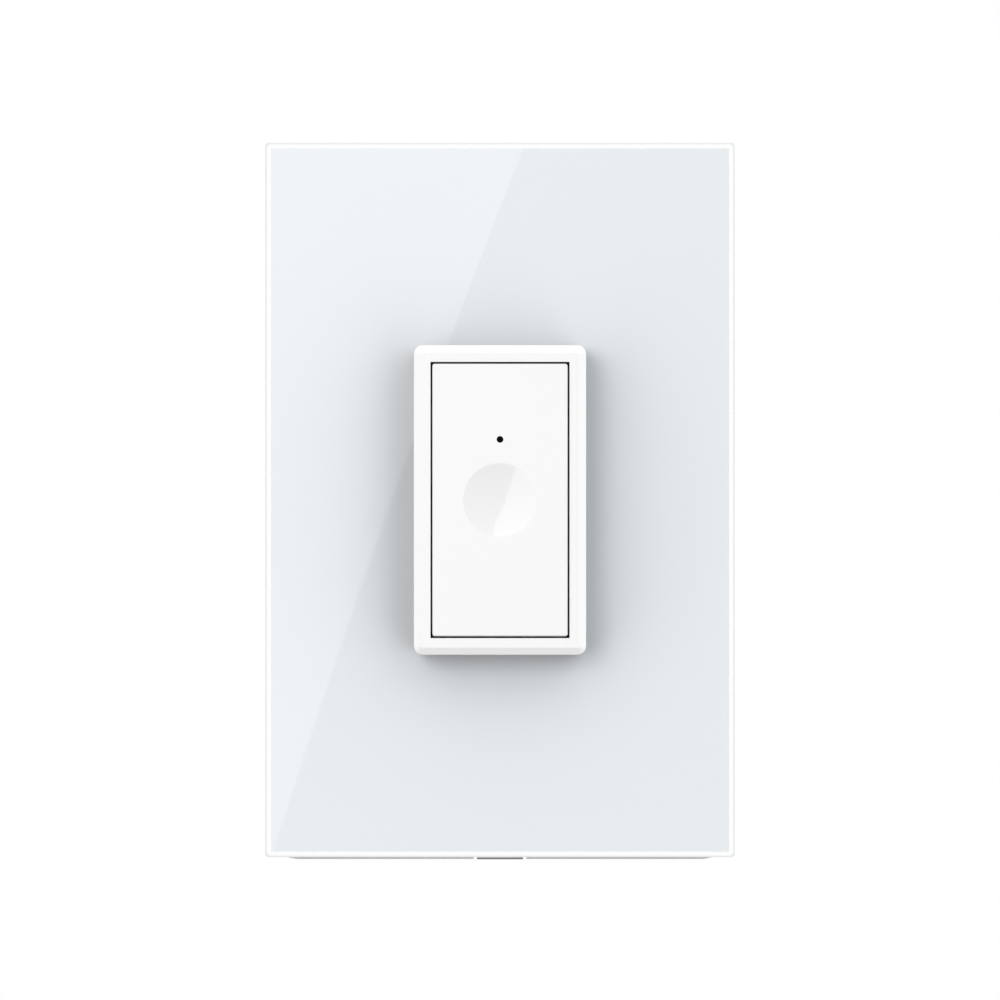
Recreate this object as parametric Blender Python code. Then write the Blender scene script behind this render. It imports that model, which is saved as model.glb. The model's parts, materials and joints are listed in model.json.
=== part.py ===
"""Glass touch light switch: glass plate on its carrier, raised bezel with a soft-touch key, and insert.

Metres, +Z up. The wall is the plane y = 0 and the front faces -Y. The origin is the centre of the plate
on the wall, so everything at positive y goes into the wall box.
"""

import math

import bmesh
import bpy
from mathutils import Matrix, Vector

# Clearances
SEAT_GAP = 0.0003
KEY_GAP = 0.0003
LENS_GAP = 0.00005
SCREW_GAP = 0.0002
FLEX_ROOM = 0.0008

# Glass plate
GLASS_THICKNESS = 0.0040
GLASS_CHAMFER = 0.00068
GLASS_CHAMFER_DEPTH = 0.00055
GLASS_ARRIS = 0.0003
GLASS_ARRIS_DEPTH = 0.0006
GLASS_CORNER = 0.0004
GLASS_FACE_CORNER = 0.0001
CUTOUT_RADIUS = 0.0015

# Carrier of the glass, and its tape
CARRIER_DEPTH = 0.0042
CARRIER_SKIN = 0.0018
CARRIER_WALL = 0.0016
CARRIER_INSET = 0.0005
CARRIER_RADIUS = 0.0045
CARRIER_EDGE = 0.0003
CARRIER_CLEARANCE = 0.0010
LIP_DROP = 0.00045
RIB_WIDTH = 0.0010
RIB_SPACING = 0.0140
RIB_SETBACK = 0.0006
TAB_WIDTH = 0.0076
TAB_DROP = 0.00012
TAB_SLIT = 0.0005
TAB_LENGTH = 0.0030
TAB_SETBACK = 0.0015
PRY_NOTCH_WIDTH = 0.0050
PRY_NOTCH_DEPTH = 0.0012
CLIP_INSET = 0.01435
CLIP_WIDTH = 0.0080
CLIP_THICKNESS = 0.0014
TAPE_THICKNESS = 0.0006
TAPE_WIDTH = 0.0050
TAPE_MARGIN = 0.0015

# Snap hooks, the same form on each clip
HOOK_REACH = 0.0008
HOOK_LENGTH = 0.0020
HOOK_LAND = 0.0004

# Mounting yoke
YOKE_THICKNESS = 0.0012
YOKE_SIDE = 0.01135
YOKE_END = 0.01075
YOKE_MARGIN = 0.0040
YOKE_RADIUS = 0.0030
FIXING_MARGIN = 0.01165
FIXING_SLOT_WIDTH = 0.0042
FIXING_SLOT_LENGTH = 0.0090

# Insert housing
BODY_SIDE = 0.0100
BODY_END = 0.00785
BODY_DEPTH = 0.0260
BODY_WALL = 0.0016
BODY_RADIUS = 0.0020
BODY_CHAMFER = 0.0010
SEAM_LIP = 0.0006
SEAM_DEPTH = 0.0012
FLANGE_MARGIN = 0.0040
FLANGE_THICKNESS = 0.0014
FLANGE_RADIUS = 0.0030
COLLAR_WALL = 0.0020
LUG_INSET = 0.0150
LUG_WIDTH = 0.0080
LUG_LENGTH = 0.0028
BOSS_INSET = 0.0046
BOSS_RADIUS = 0.0034
VENT_WIDTH = 0.0014
VENT_SPACING = 0.0034
VENT_LENGTH = 0.0140
VENT_ROWS = 5
VENT_INSET = 0.0160

# Bezel
BEZEL_STANDOFF = 0.0080
BEZEL_RIM = 0.0027
BEZEL_CHAMFER = 0.00115
BEZEL_CHAMFER_DEPTH = 0.00065
BEZEL_RADIUS = 0.0014
BEZEL_SKIRT_WALL = 0.0011
SKIRT_RADIUS = 0.0012
BEZEL_CLIP_INSET = 0.0093
BEZEL_CLIP_WIDTH = 0.0060

# Key
KEY_WIDTH = 0.0220
KEY_HEIGHT = 0.0443
KEY_CORNER = 0.0004
KEY_EDGE = 0.00015
KEY_TOP = 0.0020
KEY_SKIRT = 0.0050
KEY_WALL = 0.0012
KEY_TRAVEL = 0.0006
KEY_LEG_INSET = 0.0051
KEY_LEG_WIDTH = 0.0040
KEY_RIB_WIDTH = 0.0010
KEY_RIB_DEPTH = 0.0015
KEY_RIB_X = 0.0060
KEY_RIB_INSET = 0.0050
KEY_POST_RADIUS = 0.0018
DISH_RADIUS = 0.0060
DISH_DEPTH = 0.00042
LENS_DIAMETER = 0.0010
LENS_INSET = 0.0085
LENS_STEM_DIAMETER = 0.0024
LENS_SHOULDER = 0.0012
LENS_BOSS_WALL = 0.0010

# Return springs
SPRING_INSET = 0.0038
SPRING_RADIUS = 0.0019
SPRING_WIRE = 0.00045
SPRING_TURNS = 6
END_TURN_GAP = 0.0000675
SPRING_PEG_RADIUS = 0.0011
SPRING_PEG_LENGTH = 0.0020

# Control board and what it carries
CONTROL_SIDE_INSET = 0.0008
CONTROL_END_INSET = 0.0078
BOARD_THICKNESS = 0.0016
CONTROL_STANDOFF = 0.0035
CONTROL_POST_SIDE = 0.0023
CONTROL_POST_END = 0.0029
CONTROL_POST_RADIUS = 0.0015
CONTROL_PIN_RADIUS = 0.0007
TACT_SIDE = 0.0060
TACT_HEIGHT = 0.0031
TACT_EDGE = 0.0003
PLUNGER_RADIUS = 0.0016
PLUNGER_PROUD = 0.0010
PLUNGER_SUNK = 0.0012
LED_WIDTH = 0.0030
LED_LENGTH = 0.0028
LED_HEIGHT = 0.0019
CHIP_WIDTH = 0.0050
CHIP_LENGTH = 0.0040
CHIP_HEIGHT = 0.0014
CHIP_CLEARANCE = 0.0018
HEADER_INSET = 0.0040
HEADER_SPACING = 0.00254
HEADER_PINS = 4
HEADER_PIN = 0.00064
HEADER_BASE = 0.0025

# Power board and what it carries
BOARD_MARGIN = 0.0006
RELAY_WIDTH = 0.0155
RELAY_LENGTH = 0.0190
RELAY_HEIGHT = 0.0148
CAPACITOR_RADIUS = 0.0050
CAPACITOR_HEIGHT = 0.0125
FILM_WIDTH = 0.0130
FILM_LENGTH = 0.0050
FILM_HEIGHT = 0.0110
VARISTOR_RADIUS = 0.0045
VARISTOR_THICKNESS = 0.0034
FUSE_RADIUS = 0.0018
FUSE_LENGTH = 0.0090
PART_EDGE = 0.0005
PART_SPACING = 0.0010

# Terminals
TERMINALS = 3
BLOCK_HEIGHT = 0.0110
CHAMBER_WALL = 0.0011
CHAMBER_DEPTH = 0.0066
CHAMBER_HEIGHT = 0.0080
WIRE_HOLE_RADIUS = 0.0017
TERMINAL_HEAD_RADIUS = 0.0025
TERMINAL_HEAD_HEIGHT = 0.0018
TERMINAL_SHANK_RADIUS = 0.0013

# Screws
HOUSING_HEAD_RADIUS = 0.0023
HOUSING_HEAD_HEIGHT = 0.0016
HOUSING_SHANK_RADIUS = 0.0012
HOUSING_SCREW_MARGIN = 0.0039
BOX_HEAD_RADIUS = 0.0033
BOX_HEAD_HEIGHT = 0.0019
BOX_SHANK_RADIUS = 0.00165
BOX_SCREW_LENGTH = 0.0220
SLOT_WIDTH = 0.0008
SLOT_DEPTH = 0.0008

# Facets
CORNER_STEPS = 4
ROUND_SIDES = 18
DISH_SIDES = 48
DISH_RINGS = 6
SPRING_SIDES_PER_TURN = 12
ROUND_END_FLAT = 0.025
SMOOTH_ANGLE = math.radians(32)
OVERLAP = 0.0005
OVERSHOOT = 0.0010

# Planes along y, from the wall forwards
YOKE_FRONT = -YOKE_THICKNESS
FLANGE_REAR = YOKE_FRONT - SEAT_GAP
FLANGE_FRONT = FLANGE_REAR - FLANGE_THICKNESS
SKIRT_REAR = FLANGE_FRONT - SEAT_GAP
SKIN_REAR = CARRIER_SKIN - CARRIER_DEPTH
GLASS_REAR = -CARRIER_DEPTH - SEAT_GAP
GLASS_FRONT = GLASS_REAR - GLASS_THICKNESS
COLLAR_FRONT = GLASS_REAR + SEAT_GAP
BEZEL_BASE = GLASS_FRONT - SEAT_GAP
FACE = GLASS_FRONT - BEZEL_STANDOFF
KEY_BACK = FACE + KEY_TOP
KEY_SKIRT_END = FACE + KEY_SKIRT
CONTROL_REAR = FLANGE_FRONT - CONTROL_STANDOFF
CONTROL_FRONT = CONTROL_REAR - BOARD_THICKNESS
TACT_REAR = CONTROL_FRONT - SEAT_GAP
TACT_FRONT = TACT_REAR - TACT_HEIGHT
PLUNGER_FRONT = TACT_FRONT - PLUNGER_PROUD
LED_FRONT = CONTROL_FRONT - SEAT_GAP - LED_HEIGHT
SNAP_CATCH = FLANGE_REAR + SEAT_GAP

# Planes along y, from the wall into the box
BACK_INSIDE = BODY_DEPTH - BODY_WALL
POWER_REAR = BACK_INSIDE - RELAY_HEIGHT - 2 * SEAT_GAP
POWER_FRONT = POWER_REAR - BOARD_THICKNESS
PARTS_BASE = POWER_REAR + SEAT_GAP
SPLIT = PARTS_BASE
SEAM_END = SPLIT - SEAM_DEPTH

# Sizes and places that follow from the key's
BODY_WIDTH = KEY_WIDTH + 2 * BODY_SIDE
BODY_HEIGHT = KEY_HEIGHT + 2 * BODY_END
FIXING_Z = BODY_HEIGHT / 2 + FIXING_MARGIN
YOKE_WIDTH = BODY_WIDTH + 2 * YOKE_SIDE
YOKE_HEIGHT = 2 * (FIXING_Z + YOKE_END)
CARRIER_WIDTH = YOKE_WIDTH + 2 * (YOKE_MARGIN + CARRIER_WALL)
CARRIER_TOP = YOKE_HEIGHT / 2 + YOKE_MARGIN + CARRIER_WALL
GLASS_WIDTH = CARRIER_WIDTH + 2 * CARRIER_INSET
GLASS_HEIGHT = 2 * (CARRIER_TOP + CARRIER_INSET)
CARRIER_BOTTOM = -GLASS_HEIGHT / 2 - LIP_DROP
CARRIER_HEIGHT = CARRIER_TOP - CARRIER_BOTTOM
CARRIER_MIDDLE = (CARRIER_TOP + CARRIER_BOTTOM) / 2
CLIP_X = YOKE_WIDTH / 2 - CLIP_INSET
LUG_Z = BODY_HEIGHT / 2 - LUG_INSET
VENT_Z = BODY_HEIGHT / 2 - VENT_INSET
SPRING_Z = KEY_HEIGHT / 2 - SPRING_INSET
LENS_Z = SPRING_Z - LENS_INSET
KEY_RIB_Z = SPRING_Z - KEY_RIB_INSET
KEY_LEG_X = KEY_WIDTH / 2 - KEY_LEG_INSET
BEZEL_CLIP_Z = KEY_HEIGHT / 2 - BEZEL_CLIP_INSET
CONTROL_WIDTH = KEY_WIDTH - 2 * CONTROL_SIDE_INSET
CONTROL_HEIGHT = KEY_HEIGHT - 2 * CONTROL_END_INSET
CONTROL_POST_X = CONTROL_WIDTH / 2 - CONTROL_POST_SIDE
CONTROL_POST_Z = CONTROL_HEIGHT / 2 - CONTROL_POST_END
CHIP_Z = TACT_SIDE / 2 + CHIP_CLEARANCE + CHIP_LENGTH / 2
HEADER_Z = CONTROL_POST_Z - HEADER_INSET

# Sizes that follow from the pieces inside them
OPENING_WIDTH = KEY_WIDTH + 2 * KEY_GAP
OPENING_HEIGHT = KEY_HEIGHT + 2 * KEY_GAP
BEZEL_WIDTH = OPENING_WIDTH + 2 * BEZEL_RIM
BEZEL_HEIGHT = OPENING_HEIGHT + 2 * BEZEL_RIM
SKIRT_WIDTH = OPENING_WIDTH + 2 * BEZEL_SKIRT_WALL
SKIRT_HEIGHT = OPENING_HEIGHT + 2 * BEZEL_SKIRT_WALL
CUTOUT_WIDTH = SKIRT_WIDTH + 2 * SEAT_GAP
CUTOUT_HEIGHT = SKIRT_HEIGHT + 2 * SEAT_GAP
FLANGE_WIDTH = BODY_WIDTH + 2 * FLANGE_MARGIN
FLANGE_HEIGHT = BODY_HEIGHT + 2 * FLANGE_MARGIN
INSIDE_WIDTH = BODY_WIDTH - 2 * BODY_WALL
INSIDE_HEIGHT = BODY_HEIGHT - 2 * BODY_WALL
BOSS_X = BODY_WIDTH / 2 - BOSS_INSET
BOSS_Z = BODY_HEIGHT / 2 - BOSS_INSET
POWER_WIDTH = INSIDE_WIDTH - 2 * BOARD_MARGIN
POWER_HEIGHT = INSIDE_HEIGHT - 2 * BOARD_MARGIN
BLOCK_WIDTH = 2 * (BOSS_X - BOSS_RADIUS - SEAT_GAP)
BLOCK_BOTTOM = -INSIDE_HEIGHT / 2 + SEAT_GAP
BLOCK_TOP = BLOCK_BOTTOM + BLOCK_HEIGHT
BLOCK_REAR = BACK_INSIDE - SEAT_GAP
TERMINAL_PITCH = BLOCK_WIDTH / TERMINALS
CHAMBER_WIDTH = TERMINAL_PITCH - CHAMBER_WALL
CHAMBER_Y = (PARTS_BASE + BLOCK_REAR) / 2
HEAD_SEAT = BLOCK_REAR - TERMINAL_HEAD_HEIGHT - SEAT_GAP
PARTS_BOTTOM = BLOCK_TOP + PART_SPACING

CUT = "DIFFERENCE"
ADD = "UNION"

MATERIALS = {
    "painted_glass": ((0.80, 0.84, 0.86), 0.05, 0.0),
    "white_plastic": ((0.88, 0.88, 0.87), 0.25, 0.0),
    "carrier_plastic": ((0.80, 0.80, 0.79), 0.45, 0.0),
    "foam_tape": ((0.06, 0.06, 0.06), 0.90, 0.0),
    "zinc_steel": ((0.62, 0.63, 0.64), 0.35, 1.0),
    "housing_plastic": ((0.05, 0.05, 0.055), 0.50, 0.0),
    "dark_lens": ((0.004, 0.004, 0.005), 0.10, 0.0),
    "spring_steel": ((0.60, 0.60, 0.60), 0.25, 1.0),
    "board_laminate": ((0.02, 0.16, 0.06), 0.45, 0.0),
    "black_component": ((0.02, 0.02, 0.02), 0.40, 0.0),
    "relay_plastic": ((0.03, 0.10, 0.32), 0.40, 0.0),
    "can_aluminium": ((0.55, 0.56, 0.58), 0.30, 1.0),
    "film_plastic": ((0.55, 0.36, 0.04), 0.40, 0.0),
    "varistor_coating": ((0.02, 0.08, 0.24), 0.35, 0.0),
    "led_plastic": ((0.75, 0.75, 0.70), 0.30, 0.0),
    "terminal_plastic": ((0.35, 0.36, 0.37), 0.50, 0.0),
    "terminal_brass": ((0.70, 0.50, 0.20), 0.30, 1.0),
    "screw_steel": ((0.65, 0.65, 0.64), 0.28, 1.0),
}


def clear_scene():
    for obj in list(bpy.data.objects):
        bpy.data.objects.remove(obj, do_unlink=True)


def material(name):
    """The named material, made at its first use."""
    found = bpy.data.materials.get(name)
    if found:
        return found
    colour, roughness, metallic = MATERIALS[name]
    made = bpy.data.materials.new(name)
    made.use_nodes = True
    shader = made.node_tree.nodes["Principled BSDF"]
    shader.inputs["Base Color"].default_value = (*colour, 1.0)
    shader.inputs["Roughness"].default_value = roughness
    shader.inputs["Metallic"].default_value = metallic
    made.diffuse_color = (*colour, 1.0)
    return made


def placed(axis, along, u, v):
    """A point at a distance along one axis, u and v being its places on the other two in their order."""
    return {"X": (along, u, v), "Y": (u, along, v), "Z": (u, v, along)}[axis]


def loft(sections, axis="Y"):
    """Solid through outlines of equal point count, each given with its place along the axis."""
    points = []
    faces = []
    count = len(sections[0][0])
    for outline, along in sections:
        points += [placed(axis, along, u, v) for u, v in outline]
    for level in range(len(sections) - 1):
        near = level * count
        far = near + count
        for i in range(count):
            j = (i + 1) % count
            faces.append((near + i, near + j, far + j, far + i))
    faces.append(tuple(range(count)))
    faces.append(tuple(range(len(points) - count, len(points))))
    return points, faces


def extrusion(outline, start, end, axis="Y"):
    return loft([(outline, start), (outline, end)], axis)


def box(low, high):
    """Box between two opposite corners."""
    outline = [(low[0], low[2]), (high[0], low[2]), (high[0], high[2]), (low[0], high[2])]
    return extrusion(outline, low[1], high[1])


def centred_box(width, height, front, back, x=0.0, z=0.0):
    """Box between two planes along y, centred on a point of x and z."""
    return box((x - width / 2, front, z - height / 2), (x + width / 2, back, z + height / 2))


def turned(profile, centre=(0.0, 0.0), axis="Y", sides=ROUND_SIDES):
    """Solid turned about an axis from (place along it, radius) pairs. A pair of radius 0 is a tip."""
    points = []
    faces = []
    rings = []
    for along, radius in profile:
        first = len(points)
        if radius == 0.0:
            points.append(placed(axis, along, *centre))
            rings.append([first] * sides)
            continue
        for i in range(sides):
            angle = 2 * math.pi * (i + 0.5) / sides
            u = centre[0] + radius * math.cos(angle)
            v = centre[1] + radius * math.sin(angle)
            points.append(placed(axis, along, u, v))
        rings.append(list(range(first, first + sides)))
    for near, far in zip(rings, rings[1:]):
        for i in range(sides):
            j = (i + 1) % sides
            corners = dict.fromkeys((near[i], near[j], far[j], far[i]))
            faces.append(tuple(corners))
    for ring, (_, radius) in ((rings[0], profile[0]), (rings[-1], profile[-1])):
        if radius > 0.0:
            faces.append(tuple(ring))
    return points, faces


def rod(radius, start, end, centre=(0.0, 0.0), axis="Y"):
    return turned([(start, radius), (end, radius)], centre, axis)


def together(solids):
    """Several solids that lie apart, as one."""
    points = []
    faces = []
    for more_points, more_faces in solids:
        first = len(points)
        points += more_points
        faces += [tuple(first + i for i in face) for face in more_faces]
    return points, faces


def rounded_rectangle(width, height, radius, middle=0.0, steps=CORNER_STEPS):
    """Outline in x and z with round corners, centred on x = 0 and the given z."""
    outline = []
    for quarter, (side, end) in enumerate(((1, 1), (-1, 1), (-1, -1), (1, -1))):
        for step in range(steps + 1):
            angle = math.pi / 2 * (quarter + step / steps)
            x = side * (width / 2 - radius) + radius * math.cos(angle)
            z = end * (height / 2 - radius) + radius * math.sin(angle)
            outline.append((x, middle + z))
    return outline


def cut_corner_rectangle(width, height, corner):
    """Outline in x and z whose corners are taken off straight."""
    return rounded_rectangle(width, height, corner, steps=1)


def round_ended(length, width, middle):
    """Outline of a slot in x and z, its ends round but for a sliver of flat between their quarters."""
    radius = width / (2 * (1 + ROUND_END_FLAT))
    return rounded_rectangle(length, width, radius, middle)


def hook_outline(inner, outer, start, catch, direction):
    """Leg from start to past the catch, with a hook beyond its outer side. The pairs are (side, y)."""
    tip = outer + direction * HOOK_REACH
    end = catch + HOOK_LENGTH
    return [
        (inner, start),
        (outer, start),
        (outer, catch),
        (tip, catch),
        (tip, catch + HOOK_LAND),
        (outer, end),
        (inner, end),
    ]


def mesh_object(name, solid):
    """Scene object of a solid, with its faces turned outwards."""
    points, faces = solid
    mesh = bpy.data.meshes.new(name)
    mesh.from_pydata(points, [], faces)
    made = bmesh.new()
    made.from_mesh(mesh)
    bmesh.ops.recalc_face_normals(made, faces=made.faces)
    made.to_mesh(mesh)
    made.free()
    obj = bpy.data.objects.new(name, mesh)
    bpy.context.scene.collection.objects.link(obj)
    return obj


def combine(target, operation, solid):
    """Adds a solid to the target, or cuts it away, with an applied Boolean."""
    tool = mesh_object(target.name + "_tool", solid)
    tool.hide_render = True
    tool.display_type = "WIRE"
    modifier = target.modifiers.new(operation.title(), "BOOLEAN")
    modifier.operation = operation
    modifier.solver = "EXACT"
    modifier.object = tool
    graph = bpy.context.evaluated_depsgraph_get()
    result = bpy.data.meshes.new_from_object(target.evaluated_get(graph))
    before = target.data
    target.modifiers.clear()
    target.data = result
    bpy.data.meshes.remove(before)
    bpy.data.objects.remove(tool, do_unlink=True)


def finish(obj, name, surface, origin, parent):
    """Gives a piece its material, its shading and its own origin."""
    obj.data.name = name
    obj.data.materials.clear()
    obj.data.materials.append(material(surface))
    obj.data.transform(Matrix.Translation(-Vector(origin)))
    obj.location = origin
    obj.data.shade_smooth()
    obj.data.set_sharp_from_angle(angle=SMOOTH_ANGLE)
    if parent:
        obj.parent = parent
        obj.matrix_parent_inverse = Matrix.Translation(-parent.location)
    return obj


def piece(name, surface, base, steps=(), origin=(0.0, 0.0, 0.0), parent=None):
    """One sub-part: a base solid, then what is added and cut, in order."""
    obj = mesh_object(name, base)
    for operation, solid in steps:
        combine(obj, operation, solid)
    return finish(obj, name, surface, origin, parent)


def axis_empty(name, location):
    """Empty on a joint's axis, which carries the pieces that move together."""
    empty = bpy.data.objects.new(name, None)
    empty.location = location
    empty.empty_display_size = SPRING_Z
    bpy.context.scene.collection.objects.link(empty)
    return empty


def four_corners(x, z):
    return [(side * x, end * z) for side in (-1, 1) for end in (-1, 1)]


def make_glass_panel():
    arris_width = GLASS_WIDTH - 2 * GLASS_ARRIS
    arris_height = GLASS_HEIGHT - 2 * GLASS_ARRIS
    face_width = arris_width - 2 * GLASS_CHAMFER
    face_height = arris_height - 2 * GLASS_CHAMFER
    full = cut_corner_rectangle(GLASS_WIDTH, GLASS_HEIGHT, GLASS_CORNER)
    eased = cut_corner_rectangle(arris_width, arris_height, GLASS_CORNER)
    face = cut_corner_rectangle(face_width, face_height, GLASS_FACE_CORNER)
    chamfer_rear = GLASS_FRONT + GLASS_CHAMFER_DEPTH
    base = loft(
        [
            (face, GLASS_FRONT),
            (eased, chamfer_rear),
            (full, chamfer_rear + GLASS_ARRIS_DEPTH),
            (full, GLASS_REAR - GLASS_ARRIS),
            (eased, GLASS_REAR),
        ]
    )
    cutout = rounded_rectangle(CUTOUT_WIDTH, CUTOUT_HEIGHT, CUTOUT_RADIUS)
    hole = extrusion(cutout, GLASS_FRONT - OVERSHOOT, GLASS_REAR + OVERSHOOT)
    piece("glass_panel", "painted_glass", base, [(CUT, hole)], (0, GLASS_REAR, 0))


def carrier_outline(inset):
    """Outline of the carrier, moved in by an inset."""
    width = CARRIER_WIDTH - 2 * inset
    height = CARRIER_HEIGHT - 2 * inset
    return rounded_rectangle(width, height, CARRIER_RADIUS - inset, CARRIER_MIDDLE)


def tape_inner_outline(slack):
    """Inner outline of the tape's ring, moved in by a slack."""
    inset = TAPE_MARGIN + TAPE_WIDTH + slack
    width = CARRIER_WIDTH - 2 * inset
    height = CARRIER_HEIGHT - 2 * inset
    return rounded_rectangle(width, height, CUTOUT_RADIUS, CARRIER_MIDDLE)


def make_adhesive_frame():
    front = -CARRIER_DEPTH
    rear = TAPE_THICKNESS - CARRIER_DEPTH
    outer = extrusion(carrier_outline(TAPE_MARGIN), front, rear)
    inner = extrusion(tape_inner_outline(0.0), front - OVERSHOOT, rear + OVERSHOOT)
    piece("adhesive_frame", "foam_tape", outer, [(CUT, inner)], (0, front, 0))


def tape_groove():
    """Ring-shaped groove in the carrier's front, a little wider and deeper than the tape."""
    floor = TAPE_THICKNESS + SEAT_GAP - CARRIER_DEPTH
    outer = carrier_outline(TAPE_MARGIN - SEAT_GAP)
    inner = tape_inner_outline(SEAT_GAP)
    front = -CARRIER_DEPTH - OVERSHOOT
    points, faces = loft([(outer, front), (outer, floor), (inner, floor), (inner, front)])
    count = len(outer)
    last = 3 * count
    closing = [(i, (i + 1) % count, last + (i + 1) % count, last + i) for i in range(count)]
    return points, faces[:-2] + closing


def carrier_ribs():
    """Stiffening ribs between the carrier's wall and the yoke, evenly spaced on each side."""
    front = SKIN_REAR - OVERLAP
    rear = -RIB_SETBACK
    ribs = []
    side_start = YOKE_WIDTH / 2 + CARRIER_CLEARANCE
    side_end = CARRIER_WIDTH / 2 - CARRIER_WALL + OVERLAP
    end_start = YOKE_HEIGHT / 2 + CARRIER_CLEARANCE
    top_end = CARRIER_TOP - CARRIER_WALL + OVERLAP
    bottom_end = -CARRIER_BOTTOM - CARRIER_WALL + OVERLAP
    half = RIB_WIDTH / 2
    rows = int((YOKE_HEIGHT / 2) / RIB_SPACING)
    for row in range(-rows, rows + 1):
        z = row * RIB_SPACING
        ribs.append(box((side_start, front, z - half), (side_end, rear, z + half)))
        ribs.append(box((-side_end, front, z - half), (-side_start, rear, z + half)))
    columns = int((YOKE_WIDTH / 2) / RIB_SPACING)
    for column in range(-columns, columns + 1):
        x = column * RIB_SPACING
        ribs.append(box((x - half, front, end_start), (x + half, rear, top_end)))
        ribs.append(box((x - half, front, -bottom_end), (x + half, rear, -end_start)))
    return together(ribs)


def carrier_clips():
    """Four hooked legs that pass through the yoke's windows."""
    clips = []
    for x, z in four_corners(CLIP_X, FIXING_Z):
        direction = math.copysign(1, z)
        inner = z - direction * CLIP_THICKNESS / 2
        outer = z + direction * CLIP_THICKNESS / 2
        outline = hook_outline(inner, outer, SKIN_REAR - OVERLAP, SEAT_GAP, direction)
        upright = [(y, side) for side, y in outline]
        clips.append(extrusion(upright, x - CLIP_WIDTH / 2, x + CLIP_WIDTH / 2, "X"))
    return together(clips)


def release_tab():
    """The tab of the lower lip, which reaches a little lower than the lip."""
    half = TAB_WIDTH / 2
    low = (-half, TAB_SETBACK - CARRIER_DEPTH, CARRIER_BOTTOM - TAB_DROP)
    return box(low, (half, 0.0, CARRIER_BOTTOM + OVERLAP))


def release_tab_cuts():
    """Slits beside the tab, the step in its front, and the notch for a screwdriver."""
    bottom = CARRIER_BOTTOM - OVERSHOOT
    top = CARRIER_BOTTOM + TAB_LENGTH
    front = -CARRIER_DEPTH - OVERSHOOT
    slit_x = (TAB_WIDTH + TAB_SLIT) / 2
    cuts = []
    for x in (-slit_x, slit_x):
        cuts.append(box((x - TAB_SLIT / 2, front, bottom), (x + TAB_SLIT / 2, OVERSHOOT, top)))
    step_rear = TAB_SETBACK - CARRIER_DEPTH
    step_top = -GLASS_HEIGHT / 2
    cuts.append(box((-slit_x, front, bottom), (slit_x, step_rear, step_top)))
    notch = PRY_NOTCH_WIDTH / 2
    notch_top = CARRIER_BOTTOM + CARRIER_WALL + OVERLAP
    cuts.append(box((-notch, -PRY_NOTCH_DEPTH, bottom), (notch, OVERSHOOT, notch_top)))
    return cuts


def make_plate_carrier():
    base = loft(
        [
            (carrier_outline(CARRIER_EDGE), -CARRIER_DEPTH),
            (carrier_outline(0.0), CARRIER_EDGE - CARRIER_DEPTH),
            (carrier_outline(0.0), 0.0),
        ]
    )
    pocket = extrusion(carrier_outline(CARRIER_WALL), SKIN_REAR, OVERSHOOT)
    opening_outline = rounded_rectangle(
        FLANGE_WIDTH + 2 * CARRIER_CLEARANCE, FLANGE_HEIGHT + 2 * CARRIER_CLEARANCE, FLANGE_RADIUS
    )
    opening = extrusion(opening_outline, -CARRIER_DEPTH - OVERSHOOT, OVERSHOOT)
    head_hole = BOX_HEAD_RADIUS + CARRIER_CLEARANCE
    head_holes = together(
        [rod(head_hole, -CARRIER_DEPTH - OVERSHOOT, OVERSHOOT, (0, z)) for z in (-FIXING_Z, FIXING_Z)]
    )
    steps = [(CUT, pocket), (ADD, carrier_ribs()), (ADD, carrier_clips()), (ADD, release_tab())]
    steps += [(CUT, solid) for solid in (opening, head_holes, tape_groove(), *release_tab_cuts())]
    piece("plate_carrier", "carrier_plastic", base, steps)


def make_mounting_yoke():
    edge_front = SKIN_REAR + SEAT_GAP
    outline = rounded_rectangle(YOKE_WIDTH, YOKE_HEIGHT, YOKE_RADIUS)
    trough_width = YOKE_WIDTH - 2 * YOKE_THICKNESS
    trough = centred_box(trough_width, YOKE_HEIGHT + OVERSHOOT, edge_front - OVERSHOOT, YOKE_FRONT)
    body_outline = rounded_rectangle(BODY_WIDTH + 2 * SEAT_GAP, BODY_HEIGHT + 2 * SEAT_GAP, BODY_RADIUS)
    holes = [extrusion(body_outline, edge_front - OVERSHOOT, OVERSHOOT)]
    for z in (-FIXING_Z, FIXING_Z):
        slot = round_ended(FIXING_SLOT_LENGTH, FIXING_SLOT_WIDTH, z)
        holes.append(extrusion(slot, edge_front - OVERSHOOT, OVERSHOOT))
    holes += [clip_window(x, z, edge_front - OVERSHOOT) for x, z in four_corners(CLIP_X, FIXING_Z)]
    base = extrusion(outline, edge_front, 0.0)
    piece("mounting_yoke", "zinc_steel", base, [(CUT, trough), (CUT, together(holes))])


def clip_window(x, z, front):
    """Window in the yoke for one clip, with room inwards for the leg to flex."""
    direction = math.copysign(1, z)
    near = z - direction * (CLIP_THICKNESS / 2 + FLEX_ROOM)
    far = z + direction * (CLIP_THICKNESS / 2 + SEAT_GAP)
    half = CLIP_WIDTH / 2 + SEAT_GAP
    return box((x - half, front, min(near, far)), (x + half, OVERSHOOT, max(near, far)))


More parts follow.
